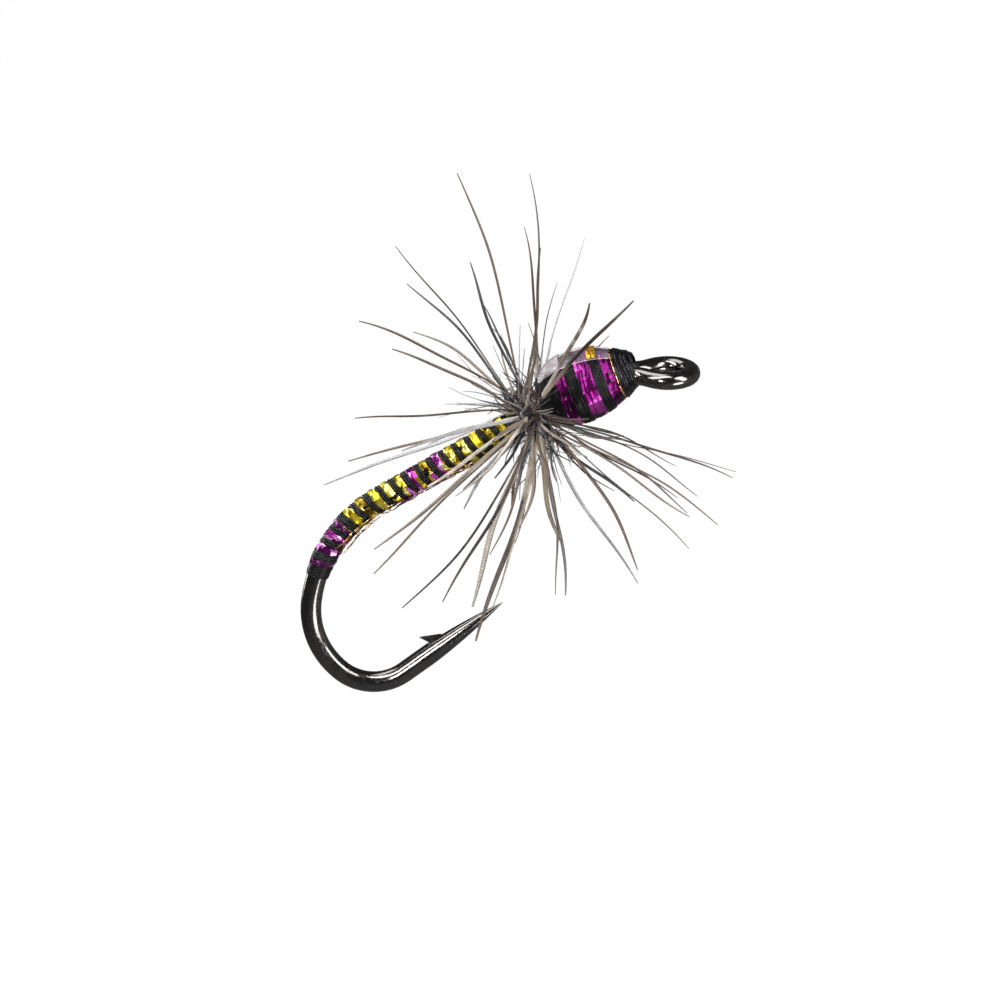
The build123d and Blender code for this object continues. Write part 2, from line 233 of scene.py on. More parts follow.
def closed_outline(points):
    """A circle of as many points, pulled to the (x, radius) places of an outline."""
    clear_selection()
    bpy.ops.mesh.primitive_circle_add(vertices=len(points), radius=0.1)
    piece = bpy.context.object
    for vertex, (x, radius) in zip(piece.data.vertices, points):
        vertex.co = (x, 0, radius)
    return piece


def wind(outline, pitch, turns, steps):
    """Wind a closed outline of (x, radius) points round the X axis, and close its two ends."""
    piece = closed_outline(outline)
    whole = max(1, math.ceil(turns))
    apply_modifier(piece, "SCREW", axis="X", angle=2 * math.pi * turns / whole, iterations=whole,
                   steps=steps, render_steps=steps, screw_offset=pitch * turns / whole,
                   use_merge_vertices=False, use_smooth_shade=True)
    pick(piece)
    bpy.ops.object.mode_set(mode="EDIT")
    bpy.ops.mesh.select_all(action="DESELECT")
    bpy.ops.mesh.select_non_manifold()
    bpy.ops.mesh.edge_face_add()
    bpy.ops.object.mode_set(mode="OBJECT")
    recalculate(piece)
    return piece


def arc_of(outline, half_angle, steps):
    """The stretch of a wound outline that lies over the crown, to each side of the top."""
    piece = wind(outline, 0.0, half_angle / math.pi, steps)
    piece.rotation_euler = (-half_angle, 0, 0)
    pick(piece)
    bpy.ops.object.transform_apply(location=False, rotation=True, scale=False)
    return piece


def oval(centre_x, centre_r, half_w, half_t, sides=8):
    """Points of a small oval section of thread, wire or tinsel."""
    return [(centre_x + half_w * math.cos(2 * math.pi * i / sides),
             centre_r + half_t * math.sin(2 * math.pi * i / sides)) for i in range(sides)]


def crumple(piece, amount, seed):
    """Push the points of a piece about at random, as in crinkled foil or uneven thread."""
    pick(piece)
    bpy.ops.object.mode_set(mode="EDIT")
    bpy.ops.mesh.select_all(action="SELECT")
    bpy.ops.transform.vertex_random(offset=amount, uniform=0.5, normal=0.2, seed=seed)
    bpy.ops.object.mode_set(mode="OBJECT")


# ---------------------------------------------------------------- materials
def add_node(tree, kind, values=None, **settings):
    """Add a node, set its plain properties and the values of its sockets."""
    node = tree.nodes.new(kind)
    for key, value in settings.items():
        setattr(node, key, value)
    for key, value in (values or {}).items():
        node.inputs[key].default_value = value
    return node


def new_group(name, inputs, outputs):
    """An empty shader group with named sockets, and the nodes at its two ends."""
    group = bpy.data.node_groups.new(name, "ShaderNodeTree")
    kinds = {"number": "NodeSocketFloat", "colour": "NodeSocketColor", "vector": "NodeSocketVector"}
    for label, kind in inputs:
        group.interface.new_socket(name=label, in_out="INPUT", socket_type=kinds[kind])
    for label, kind in outputs:
        group.interface.new_socket(name=label, in_out="OUTPUT", socket_type=kinds[kind])
    return group, group.nodes.new("NodeGroupInput"), group.nodes.new("NodeGroupOutput")


def blend(tree, factor, first, second):
    """Mix two colours, each a socket, by a factor socket."""
    mix = add_node(tree, "ShaderNodeMix", data_type="RGBA")
    tree.links.new(factor, mix.inputs["Factor"])
    tree.links.new(first, mix.inputs["A"])
    tree.links.new(second, mix.inputs["B"])
    return mix.outputs["Result"]


def stretch_range(tree, value, low, high, to_low=0.0, to_high=1.0):
    """Spread a stretch of a value over a new range."""
    spread = add_node(tree, "ShaderNodeMapRange", {"From Min": low, "From Max": high,
                                                   "To Min": to_low, "To Max": to_high})
    tree.links.new(value, spread.inputs["Value"])
    return spread.outputs["Result"]


def grain_group():
    """Fine noise, drawn out along any axis: a shade between two colours, and the noise itself."""
    group, given, out = new_group(
        "grain", [("Scale", "number"), ("Stretch", "vector"), ("Dark", "colour"), ("Light", "colour")],
        [("Color", "colour"), ("Fac", "number")])
    coords = add_node(group, "ShaderNodeTexCoord")
    mapping = add_node(group, "ShaderNodeMapping")
    noise = add_node(group, "ShaderNodeTexNoise", {"Detail": 4.0, "Roughness": 0.6})
    group.links.new(coords.outputs["Object"], mapping.inputs["Vector"])
    group.links.new(given.outputs["Stretch"], mapping.inputs["Scale"])
    group.links.new(mapping.outputs["Vector"], noise.inputs["Vector"])
    group.links.new(given.outputs["Scale"], noise.inputs["Scale"])
    contrast = stretch_range(group, noise.outputs["Fac"], 0.32, 0.68)
    shade = blend(group, contrast, given.outputs["Dark"], given.outputs["Light"])
    group.links.new(shade, out.inputs["Color"])
    group.links.new(contrast, out.inputs["Fac"])
    return group


def foil_group():
    """Chips of crinkled foil between dark gaps, each toned from a painted dark reflection to a painted
    glint.
    """
    group, given, out = new_group(
        "foil_chips", [("Scale", "number"), ("Gaps", "number"), ("Dark Reflection", "colour"), ("Middle", "colour"),
                       ("Bright", "colour"), ("Gap Colour", "colour")],
        [("Color", "colour"), ("Fac", "number"), ("Height", "number")])
    coords = add_node(group, "ShaderNodeTexCoord")
    chips = add_node(group, "ShaderNodeTexVoronoi", feature="F1")
    tone = add_node(group, "ShaderNodeSeparateColor")
    noise = add_node(group, "ShaderNodeTexNoise", {"Detail": 3.0})
    for texture in (chips, noise):
        group.links.new(coords.outputs["Object"], texture.inputs["Vector"])
        group.links.new(given.outputs["Scale"], texture.inputs["Scale"])
    group.links.new(chips.outputs["Color"], tone.inputs["Color"])
    # Each chip's random value picks its tone: painted reflection, from dark through the middle colour to a
    # painted glint.
    value = tone.outputs["Red"]
    colour = blend(group, stretch_range(group, value, 0.1, 0.45), given.outputs["Dark Reflection"],
                   given.outputs["Middle"])
    colour = blend(group, stretch_range(group, value, 0.6, 0.95), colour, given.outputs["Bright"])
    gap = add_node(group, "ShaderNodeMath", operation="SUBTRACT")
    group.links.new(given.outputs["Gaps"], gap.inputs[0])
    group.links.new(noise.outputs["Fac"], gap.inputs[1])
    colour = blend(group, stretch_range(group, gap.outputs["Value"], -0.02, 0.03), colour,
                   given.outputs["Gap Colour"])
    group.links.new(colour, out.inputs["Color"])
    group.links.new(noise.outputs["Fac"], out.inputs["Fac"])
    height = add_node(group, "ShaderNodeMath", operation="ADD")
    group.links.new(value, height.inputs[0])
    group.links.new(noise.outputs["Fac"], height.inputs[1])
    group.links.new(height.outputs["Value"], out.inputs["Height"])
    return group


def fibre_group():
    """Feather fibre: tones from root to tip, mottled, with a painted highlight along one side and fine
    barbules.
    """
    group, given, out = new_group(
        "fibre_mottle", [("Root", "colour"), ("Middle", "colour"), ("Tip", "colour"), ("Highlight Side", "colour"),
                         ("Thinnest", "number")],
        [("Color", "colour"), ("Alpha", "number"), ("Height", "number")])
    uv = add_node(group, "ShaderNodeUVMap", uv_map="UVMap")
    split = add_node(group, "ShaderNodeSeparateXYZ")
    coords = add_node(group, "ShaderNodeTexCoord")
    mottle = add_node(group, "ShaderNodeTexNoise", {"Scale": 1300.0, "Detail": 4.0})
    group.links.new(uv.outputs["UV"], split.inputs["Vector"])
    group.links.new(coords.outputs["Object"], mottle.inputs["Vector"])
    shift = add_node(group, "ShaderNodeMath", operation="MULTIPLY_ADD")
    shift.inputs[1].default_value = 0.7
    group.links.new(mottle.outputs["Fac"], shift.inputs[0])
    group.links.new(split.outputs["X"], shift.inputs[2])
    along = shift.outputs["Value"]
    colour = blend(group, stretch_range(group, along, 0.42, 0.68), given.outputs["Root"],
                   given.outputs["Middle"])
    colour = blend(group, stretch_range(group, along, 1.0, 1.4), colour, given.outputs["Tip"])
    # Painted highlight: one side of the fibre's section is blended towards the pale edge colour, as if lit.
    edge = stretch_range(group, split.outputs["Y"], 0.55, 0.75, 0.0, 0.7)
    group.links.new(blend(group, edge, colour, given.outputs["Highlight Side"]), out.inputs["Color"])
    clear = add_node(group, "ShaderNodeMapRange", {"From Min": 0.35, "From Max": 0.55})
    group.links.new(mottle.outputs["Fac"], clear.inputs["Value"])
    group.links.new(given.outputs["Thinnest"], clear.inputs["To Min"])
    group.links.new(clear.outputs["Result"], out.inputs["Alpha"])
    barbules = add_node(group, "ShaderNodeTexWave", {"Scale": 22.0, "Distortion": 1.5})
    group.links.new(uv.outputs["UV"], barbules.inputs["Vector"])
    group.links.new(barbules.outputs["Fac"], out.inputs["Height"])
    return group


GRAIN = grain_group()
FOIL_CHIPS = foil_group()
FIBRE_MOTTLE = fibre_group()


def new_material(name, group=None, values=None, bump=0.0):
    """A material whose colour, and bump in metres, come from one of the shader groups."""
    material = bpy.data.materials.new(name)
    material.use_nodes = True
    tree = material.node_tree
    shader = tree.nodes["Principled BSDF"]
    if group is None:
        return material, tree, shader, None
    effect = add_node(tree, "ShaderNodeGroup", node_tree=group)
    for key, value in values.items():
        socket = effect.inputs[key]
        socket.default_value = (*value, 1) if socket.type == "RGBA" else value
    tree.links.new(effect.outputs["Color"], shader.inputs["Base Color"])
    height = effect.outputs["Height"] if "Height" in effect.outputs else effect.outputs["Fac"]
    relief = add_node(tree, "ShaderNodeBump", {"Distance": bump, "Strength": 0.7})
    tree.links.new(height, relief.inputs["Height"])
    tree.links.new(relief.outputs["Normal"], shader.inputs["Normal"])
    return material, tree, shader, effect


def vary_roughness(tree, shader, effect, low, high):
    """Let the roughness follow the group's noise."""
    roughness = stretch_range(tree, effect.outputs["Fac"], 0.2, 0.8, low, high)
    tree.links.new(roughness, shader.inputs["Roughness"])


def black_nickel():
    """Polished black nickel plating with faint drawing marks."""
    material, tree, shader, grain = new_material(
        "black_nickel", GRAIN, {"Scale": 9000.0, "Stretch": (1, 1, 1), "Dark": (0.15, 0.14, 0.135),
                                "Light": (0.20, 0.19, 0.18)}, 1.2e-6)
    vary_roughness(tree, shader, grain, 0.08, 0.2)
    shader.inputs["Metallic"].default_value = 1.0
    return material


def foil(name, dark_reflection, middle, glint, scale=4200.0, gaps=0.40):
    """Crinkled metallic film whose colour shifts from chip to chip, as painted reflections up to a painted
    glint.
    """
    material, tree, shader, chips = new_material(
        name, FOIL_CHIPS, {"Scale": scale, "Gaps": gaps, "Dark Reflection": dark_reflection, "Middle": middle, "Bright": glint,
                           "Gap Colour": (0.012, 0.009, 0.008)}, 2.2e-5)
    vary_roughness(tree, shader, chips, 0.12, 0.4)
    shader.inputs["Metallic"].default_value = 0.85
    return material


def thread(name, dark, light, low, high):
    """Waxed multifilament thread."""
    material, tree, shader, grain = new_material(
        name, GRAIN, {"Scale": 16000.0, "Stretch": (1, 0.25, 0.25), "Dark": dark, "Light": light}, 8e-6)
    vary_roughness(tree, shader, grain, low, high)
    shader.inputs["Specular IOR Level"].default_value = 0.28
    return material


def fibre(name, root, middle, tip, edge, thinnest):
    """Feather fibre in one of the hackle's natural shades, with a painted highlight colour along one side.
    """
    material, tree, shader, mottle = new_material(
        name, FIBRE_MOTTLE, {"Root": root, "Middle": middle, "Tip": tip, "Highlight Side": edge,
                             "Thinnest": thinnest}, 6e-6)
    tree.links.new(mottle.outputs["Alpha"], shader.inputs["Alpha"])
    shader.inputs["Roughness"].default_value = 0.5
    return material


def film(name, dark, light, thin, thick):
    """Thin mauve-grey film with a soft gloss, creased here and there."""
    material, tree, shader, grain = new_material(
        name, GRAIN, {"Scale": 1800.0, "Stretch": (1, 1, 1), "Dark": dark, "Light": light}, 2e-5)
    tree.links.new(stretch_range(tree, grain.outputs["Fac"], 0.0, 1.0, thin, thick), shader.inputs["Alpha"])
    shader.inputs["Roughness"].default_value = 0.16
    shader.inputs["Coat Weight"].default_value = 0.4
    return material


NICKEL = black_nickel()
# Foil tones, dark to bright: painted dark reflections, the foil's middle colour, and painted glints.
GOLD = foil("gold_foil", (0.20, 0.12, 0.01), (0.78, 0.60, 0.03), (1.0, 0.92, 0.25))
MAGENTA = foil("magenta_foil", (0.10, 0.004, 0.085), (0.46, 0.03, 0.38), (0.95, 0.42, 0.88), gaps=0.37)
THORAX_MAGENTA = foil("thorax_foil", (0.05, 0.002, 0.04), (0.17, 0.004, 0.13), (0.85, 0.12, 0.70),
                      2600.0, 0.35)
ORANGE = foil("orange_foil", (0.65, 0.24, 0.01), (0.90, 0.42, 0.02), (1.0, 0.66, 0.12), 3000.0, 0.30)
COPPER = foil("copper_wire", (0.30, 0.14, 0.03), (0.75, 0.42, 0.10), (1.0, 0.80, 0.45), 6000.0, 0.42)
BLACK = thread("black_thread", (0.002, 0.002, 0.002), (0.008, 0.0075, 0.009), 0.32, 0.55)
HEAD_BLACK = thread("varnished_thread", (0.002, 0.002, 0.003), (0.010, 0.009, 0.011), 0.12, 0.26)
QUILL = thread("quill", (0.03, 0.018, 0.012), (0.16, 0.10, 0.07), 0.4, 0.6)
# The fifth colour of each fibre is a painted highlight along one side of it.
BROWN = fibre("brown_fibre", (0.20, 0.14, 0.10), (0.018, 0.010, 0.007), (0.060, 0.040, 0.030),
              (0.20, 0.14, 0.10), 0.75)
TAN = fibre("tan_fibre", (0.42, 0.34, 0.26), (0.034, 0.021, 0.014), (0.11, 0.08, 0.065),
            (0.36, 0.29, 0.23), 0.7)
CREAM = fibre("cream_fibre", (0.72, 0.66, 0.57), (0.24, 0.185, 0.135), (0.07, 0.050, 0.038),
              (0.80, 0.74, 0.66), 0.5)
SLATE = fibre("slate_fibre", (0.10, 0.10, 0.11), (0.028, 0.032, 0.038), (0.10, 0.105, 0.115),
              (0.20, 0.21, 0.23), 0.8)
PALE = fibre("pale_fibre", (0.52, 0.52, 0.53), (0.36, 0.355, 0.36), (0.22, 0.215, 0.215),
             (0.66, 0.66, 0.67), 0.45)
SOOT = fibre("sooty_fibre", (0.012, 0.009, 0.008), (0.008, 0.006, 0.006), (0.02, 0.014, 0.012),
             (0.05, 0.04, 0.035), 0.95)
FILM = film("wing_film", (0.30, 0.24, 0.30), (0.62, 0.58, 0.62), 0.03, 0.14)
# A paler, more opaque copy of the film: a painted highlight over the rear of the wing case and along its
# hems.
PAINTED_LIT_FILM = film("wing_film_painted_highlight", (0.42, 0.34, 0.38), (0.74, 0.68, 0.70), 0.22, 0.55)


# ---------------------------------------------------------------- hook
def make_hook():
    """Wire from the neck round the bend to the point, with the bend's end and the spear's direction."""
    clear_selection()
    bpy.ops.mesh.primitive_circle_add(vertices=WIRE_SIDES, radius=EYE_WIRE_R, fill_type="NGON",
                                      location=(-TAPER_END, 0, SHANK_RISE),
                                      rotation=(0, math.radians(-90), 0))
    wire = bpy.context.object
    bpy.ops.object.transform_apply(location=True, rotation=True, scale=True)
    bpy.ops.object.mode_set(mode="EDIT")
    bpy.ops.mesh.select_all(action="SELECT")

    def extrude_by(step, scale=1.0, centre=None):
        bpy.ops.mesh.extrude_region_move(TRANSFORM_OT_translate={"value": step})
        if scale != 1.0:
            bpy.ops.transform.resize(value=(scale, scale, scale), center_override=centre)

    extrude_by((TAPER_END - TAPER_START, 0, 0), WIRE_R / EYE_WIRE_R, (-TAPER_START, 0, SHANK_RISE))
    extrude_by((TAPER_START - SHANK_END, 0, 0))
    place, heading = wire_point(SHANK_END)
    station = SHANK_END
    for radius, turn in BEND_ARCS:
        centre = place + radius * Vector((math.sin(heading), 0, -math.cos(heading)))
        bpy.ops.mesh.spin(steps=round(turn / BEND_STEP), angle=math.radians(turn), center=centre,
                          axis=(0, 1, 0), dupli=False)
        station += radius * math.radians(turn)
        place, heading = wire_point(station)
    run = -Vector((math.cos(heading), 0, math.sin(heading)))
    extrude_by(run * (SPEAR_L - POINT_L))
    behind, size = POINT_L, WIRE_R
    for to_point, radius in POINT_RINGS:
        tip = place + run * (SPEAR_L - to_point)
        extrude_by(run * (behind - to_point), radius / size, tip)
        behind, size = to_point, radius
    bpy.ops.object.mode_set(mode="OBJECT")
    return wire, place, run


def make_barb(place, run):
    """Sliver of wire raised behind the point, wide at its root and sharp at its tip."""
    clear_selection()
    bpy.ops.mesh.primitive_cube_add(size=1)
    barb = bpy.context.object
    side = Vector((0, 1, 0))
    out = run.cross(side)

    def spot(behind, height, across):
        return place + run * (SPEAR_L - behind) + out * height + side * across

    half = BARB_W / 2
    sunk = WIRE_R * 0.55
    skin = WIRE_R * 0.97
    crest = WIRE_R + BARB_RISE
    corners = [spot(BARB_ROOT - 0.1, sunk, -half), spot(BARB_ROOT - 0.1, sunk, half),
               spot(BARB_ROOT, skin, -half), spot(BARB_ROOT, skin, half),
               spot(BARB_SEAT, sunk, -half * 0.9), spot(BARB_SEAT, sunk, half * 0.9),
               spot(BARB_TIP, crest, -half * 0.25), spot(BARB_TIP, crest, half * 0.25)]
    for vertex in barb.data.vertices:
        x, y, z = (int(c > 0) for c in vertex.co)
        vertex.co = corners[4 * x + 2 * z + y]
    apply_modifier(barb, "BEVEL", width=0.02, segments=2)
    recalculate(barb)
    return barb


def make_eye():
    """Neck turned down from the shank, and the loop whose two sides run back to it."""
    neck_dir = Vector((-math.cos(EYE_DROOP), 0, math.sin(EYE_DROOP)))
    neck_top = neck_dir * (SHANK_RISE / math.sin(EYE_DROOP))
    reach = NECK_BLEND_R * math.tan(EYE_DROOP / 2)
    neck = guide_curve("neck", [Vector((-TAPER_END - 0.2, 0, SHANK_RISE)), neck_top - Vector((reach, 0, 0)),
                                neck_top - neck_dir * reach, neck_dir * (LOOP_CLOSE + 0.3)], [1, 1, 1, 1])
    places = []
    for degrees in range(65, 296, 23):
        angle = math.radians(degrees)
        places.append(neck_dir * (EYE_RING_R * math.cos(angle)) - NEAR * (EYE_RING_R * math.sin(angle)))
    for back in (LOOP_CLOSE, LOOP_CLOSE + 0.45):
        places.insert(0, neck_dir * back - NEAR * LOOP_WIRE_R)
        places.append(neck_dir * back + NEAR * LOOP_WIRE_R)
    loop = guide_curve("loop", places, [1] * len(places))
    for line, radius in ((neck, EYE_WIRE_R), (loop, LOOP_WIRE_R)):
        line.data.bevel_depth = radius
        line.data.bevel_resolution = 8
        line.data.resolution_u = 8
        line.data.use_fill_caps = True
        pick(line)
        bpy.ops.object.convert(target="MESH")
    return [loop, neck]


wire, spear_place, spear_run = make_hook()
barb = make_barb(spear_place, spear_run)
hook = join("hook_wire", [wire, barb])
settle(hook, "hook_wire", [NICKEL], ["hook"], smooth=40)
settle(join("hook_eye", make_eye()), "hook_eye", [NICKEL], ["hook"], smooth=60)


# ---------------------------------------------------------------- wound body
def body_guide():
    """The wire's centreline from the hackle to the tail, with the body's taper."""
    count = 16
    step = (body_rear - body_front + 0.9) / (count - 1)
    places = [wire_point(body_front - GUIDE_LEAD + i * step)[0] for i in range(count)]
    return guide_curve("body_line", places, [1 - BODY_THIN * i / (count - 1) for i in range(count)])


def slots_by_turn(piece, start, chosen):
    """Give the faces of the chosen turns, counted from the tail, the second material."""
    for face in piece.data.polygons:
        middle = sum(piece.data.vertices[v].co.x for v in face.vertices) / len(face.vertices)
        turn = int((middle - start) / TURN_PITCH)
        face.material_index = 1 if max(0, TURNS - 1 - turn) in chosen else 0


def make_body():
    """Tinsel, two strands of black rib thread sunk between its turns, and the wraps at the tail."""
    guide = body_guide()
    lead = GUIDE_LEAD
    half = TINSEL_W / 2
    strip = [(lead - half, UNDER_R - 0.02), (lead - half, body_top - 0.05), (lead - half * 0.7, body_top),
             (lead, body_top + 0.012), (lead + half * 0.7, body_top), (lead + half, body_top - 0.05),
             (lead + half, UNDER_R - 0.02)]
    tinsel = wind(strip, TURN_PITCH, TURNS - 0.6, 11)
    crumple(tinsel, 0.022, 3)
    tinsel.data.materials.append(GOLD)
    tinsel.data.materials.append(MAGENTA)
    slots_by_turn(tinsel, lead - half, MAGENTA_TURNS)
    lay_along(tinsel, guide)
    pick(tinsel)
    bpy.ops.object.shade_flat()
    rib_x = lead + TURN_PITCH / 2
    strands = [wind(oval(rib_x + shift, body_top + rise, 0.042, 0.036), TURN_PITCH, TURNS - 1.4, 36)
               for shift, rise in ((-0.038, -0.045), (0.038, -0.035))]
    for turns_from_tail in BLACK_GAPS:
        x = lead + TURN_PITCH * (TURNS - 1 - turns_from_tail)
        strands.append(wind(oval(x - 0.09, body_top - 0.02, 0.032, 0.032), 0.058, 3.2, 36))
    rib = join("rib", strands)
    crumple(rib, 0.013, 5)
    lay_along(rib, guide)
    tail = wind(oval(lead + TURN_PITCH * (TURNS - 1) + 0.16, UNDER_R + 0.03, 0.03, 0.026), 0.055, 4, 40)
    lay_along(tail, guide)
    return tinsel, rib, tail


tinsel, rib, tail = make_body()
settle(tinsel, "body_tinsel", None, ["body_gold_tinsel", "body_magenta_tinsel"])
settle(rib, "body_rib", [BLACK], ["body_rib_thread"], smooth=60)
settle(tail, "tail_wraps", [BLACK], ["tail_thread_wrap"], smooth=60)


def belly_place(station, clock, height):
    """A place over the body's surface, at a clock angle about the wire (0 outside, positive near)."""
    place, heading = wire_point(station)
    outside = Vector((-math.sin(heading), 0, math.cos(heading)))
    return place + (outside * math.cos(clock) + NEAR * math.sin(clock)) * (body_top + height)


def add_strand(line, look, places, radii):
    """A loose filament or strip through its places."""
    spline = line.splines.new("NURBS")
    spline.points.add(len(places) - 1)
    for point, place, radius in zip(spline.points, places, radii):
        point.co = (*place, 1)
        point.radius = radius
    spline.order_u = 3
    spline.use_endpoint_u = True
    spline.resolution_u = 3
    spline.material_index = look


def make_frays():
    """Loose filaments of wire and lifted strips of tinsel under the belly."""
    dice = random.Random(4)
    line = bpy.data.curves.new("frays", "CURVE")
    line.dimensions = "3D"
    line.bevel_depth = 0.013
    line.bevel_resolution = 1
    line.use_fill_caps = True
    line.materials.append(COPPER)
    line.materials.append(MAGENTA)
    shares = [i / (STRAND_POINTS - 1) for i in range(STRAND_POINTS)]
    for _ in range(FRAY_COUNT):
        station = dice.uniform(body_front + 0.6, body_rear - 1.3)
        clock = math.radians(dice.uniform(105, 190))
        length = dice.uniform(0.3, 1.1)
        turn = dice.uniform(-0.6, 0.6)
        lifts = [0.01 + 0.05 * math.sin(math.pi * share) * dice.random() for share in shares]
        places = [belly_place(station + length * share, clock + turn * share, lift)
                  for share, lift in zip(shares, lifts)]
        add_strand(line, 0, places, [1] * STRAND_POINTS)
    for station, clock, length, width in BELLY_STRIPS:
        places = [belly_place(station + length * share, math.radians(clock + 16 * share), 0.0)
                  for share in shares]
        add_strand(line, 1, places, [width * (0.5 + 0.5 * math.sin(math.pi * share)) for share in shares])
    frays = bpy.data.objects.new("frays", line)
    bpy.context.scene.collection.objects.link(frays)
    pick(frays)
    bpy.ops.object.convert(target="MESH")
    return frays


settle(make_frays(), "body_frays", None, ["body_frayed_wire"], smooth=60)


# ---------------------------------------------------------------- thorax
def egg_radius(place):
    """Radius of the thorax at a place along its axis."""
    half = THORAX_REAR_L if place < THORAX_CREST else THORAX_FRONT_L
    return THORAX_R * math.sqrt(max(0.05, 1 - ((place - THORAX_CREST) / half) ** 2))


def axis_guide(name, start, radii):
    """A stretch of the thorax's own axis from a start place, with the radius at each step."""
    places = [thorax_middle + thorax_dir * (start + GUIDE_STEP * i) for i in range(len(radii))]
    return guide_curve(name, places, radii)


THORAX = axis_guide("thorax_line", THORAX_START,
                    [egg_radius(THORAX_START + GUIDE_STEP * i) for i in range(28)])
HEAD = axis_guide("head_line", HEAD_START, HEAD_RADII)


def ring_strip(rear, front, rise):
    """Closed band about the thorax axis, at a height over the egg, as a share of its radius."""
    mid = (rear + front) / 2 - THORAX_START
    half = (front - rear) / 2
    outline = [(mid - half, 1 + rise - BAND_T), (mid - half, 1 + rise - 0.02), (mid - half * 0.7, 1 + rise),
               (mid, 1 + rise + 0.005), (mid + half * 0.7, 1 + rise), (mid + half, 1 + rise - 0.02),
               (mid + half, 1 + rise - BAND_T)]
    return wind(outline, 0.0, 1, 17)


def crown_sheet(rear, front, rise, half_angle, steps=18):
    """Thin sheet over the crown between two places, closed all round."""
    count = 12
    run = [rear - THORAX_START + (front - rear) * i / (count - 1) for i in range(count)]
    outline = [(x, 1 + rise) for x in run] + [(x, 1 + rise + SHEET_T) for x in reversed(run)]
    return arc_of(outline, half_angle, steps)


def thread_bed(rear, front, rise=0.0, size=0.028, start=THORAX_START):
    """Wound thread between two places, as one long helix."""
    turns = (front - rear) / (size * 1.9)
    return wind(oval(rear - start, 1 + rise, size, size * 1.2, sides=6), size * 1.9, turns, 44)


def on_axis(name, pieces, materials, replaced, guide, seed=None, amount=0.0, smooth=None):
    """Join, crumple and lay pieces on the thorax or head axis, then settle them."""
    piece = join(name, pieces)
    if amount:
        crumple(piece, amount, seed)
    lay_along(piece, guide)
    if smooth is None:
        pick(piece)
        bpy.ops.object.shade_flat()
    return settle(piece, name, materials, replaced, smooth)


on_axis("thorax_floss_wraps", [thread_bed(*band) for band in BLACK_BANDS],
        [BLACK], ["thorax_floss_rear", "thorax_floss_middle", "thorax_floss_front"],
        THORAX, 7, 0.008, 60)
for name, node, turns, seed, amount in (
        ("thorax_tinsel_back", "thorax_tinsel_rear", [(-0.77, -0.57, 0.02), (-0.6, -0.41, 0.03)], 11, 0.018),
        ("thorax_tinsel_centre", "thorax_tinsel_middle",
         [(-0.12, 0.07, 0.02), (0.04, 0.22, 0.035), (0.19, 0.37, 0.025)], 13, 0.018),
        ("thorax_tinsel_fore", "thorax_tinsel_front", [(0.61, 0.78, 0.02), (0.75, 0.93, 0.03)], 17, 0.016)):
    on_axis(name, [ring_strip(*turn) for turn in turns], [THORAX_MAGENTA], [node],
            THORAX, seed, amount)
on_axis("thorax_orange_tag", [crown_sheet(0.33, 0.58, 0.088, math.radians(30), 7)],
        [ORANGE], ["thorax_orange_strip"], THORAX, 23, 0.014)
on_axis("wing_case", [crown_sheet(-1.22, 0.92, 0.075, CROWN)],
        [FILM], ["wing_case_film"], THORAX, 29, 0.012, 60)
# A second, paler sheet over the rear of the crown, as a painted highlight.
on_axis("wing_case_rear", [crown_sheet(-1.25, -0.50, 0.09, CROWN * 0.95)],
        [PAINTED_LIT_FILM], ["wing_case_film"], THORAX, 37, 0.014, 60)
on_axis("thorax_copper_line", [wind(oval(0.955 - THORAX_START, 1.03, 0.03, 0.05), 0.0, 1, 64)],
        [COPPER], ["thorax_gold_wire"], THORAX, 31, 0.006, 60)
on_axis("head_wraps", [thread_bed(0.97, 1.50, 0.0, 0.034, HEAD_START),
                       thread_bed(1.0, 1.42, 0.04, 0.04, HEAD_START)],
        [HEAD_BLACK], ["head_thread", "whip_finish"], HEAD, 19, 0.012, 60)


def film_hem(side):
    """The film's folded edge, a fine line along the thorax, in the paler film as a painted highlight."""
    count = 12
    out = thorax_up * math.cos(CROWN) + NEAR * (side * math.sin(CROWN))
    places = []
    for i in range(count):
        place = HEM_REAR + HEM_L * i / (count - 1)
        places.append(thorax_middle + thorax_dir * place + out * (egg_radius(place) * HEM_RISE))
    hem = guide_curve("hem", places, [1] * count)
    hem.data.bevel_depth = 0.016
    hem.data.bevel_resolution = 2
    hem.data.resolution_u = 4
    hem.data.use_fill_caps = True
    pick(hem)
    bpy.ops.object.convert(target="MESH")
    return hem


# The hems take the paler film: a painted highlight along the film's edges.
settle(join("film_hem", [film_hem(1), film_hem(-1)]), "wing_case_hem", [PAINTED_LIT_FILM],
       ["wing_case_film"], smooth=60)


